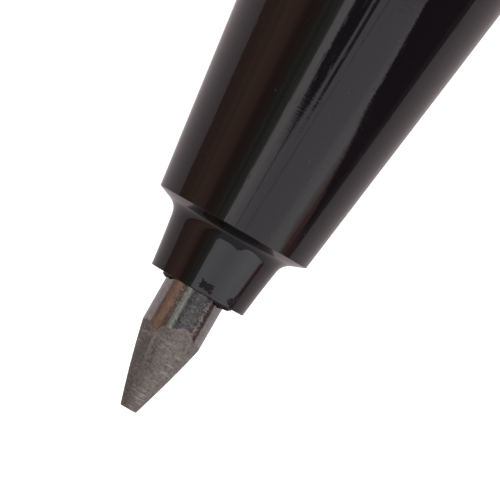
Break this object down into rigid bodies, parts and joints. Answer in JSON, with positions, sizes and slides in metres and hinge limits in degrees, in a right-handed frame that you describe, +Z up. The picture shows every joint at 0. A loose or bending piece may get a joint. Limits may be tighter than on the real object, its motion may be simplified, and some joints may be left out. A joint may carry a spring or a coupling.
{
  "type": "technical pen",
  "caption": "Fibre-point technical pen with a stepped black nose, a six-sided barrel and a clip cap posted on its tail, ready to write.",
  "frame": {"origin": "on the table under the middle of the pen, which lies on one flat of its barrel with the cap posted", "axes": "+X along the pen from the nib to the cap's crown, +Z up, away from the table, through the clip"},
  "size_m": [0.1524, 0.012, 0.0119],
  "materials": {
    "black_gloss_plastic": "injection moulded, polished",
    "nib_fibre": "bonded fibre rod, ground to a cone, ink stained",
    "bush_plastic": "moulded, ink stained",
    "reservoir_wool": "ink-soaked fibre bundle",
    "reservoir_film": "thin wrapped film",
    "breather_plastic": "extruded tube",
    "liner_plastic": "moulded, satin",
    "disc_plastic": "moulded",
    "spring_steel": "polished strip"
  },
  "bodies": {
    "pen": {"nib": "nib_fibre", "nib_bush": "bush_plastic", "nose_section": "black_gloss_plastic", "reservoir_core": "reservoir_wool", "reservoir_film": "reservoir_film", "breather_tube": "breather_plastic", "barrel": "black_gloss_plastic", "end_plug": "black_gloss_plastic"},
    "cap": {"cap_shell": "black_gloss_plastic", "inner_cap": "liner_plastic", "cap_crown": "black_gloss_plastic", "crown_disc": "disc_plastic"},
    "clip": {"clip": "spring_steel"}
  },
  "joints": [
    {"name": "cap_pull", "type": "slide", "parent": "pen", "child": "cap", "axis": [1, 0, 0], "range_m": [0, 0.03]},
    {"name": "clip_flex", "type": "hinge", "parent": "cap", "child": "clip", "pos_m": [0.06931, 0, 0.01034], "axis": [0, 1, 0], "range_deg": [0, 5], "stiffness_Nm_per_rad": 0.3}
  ]
}
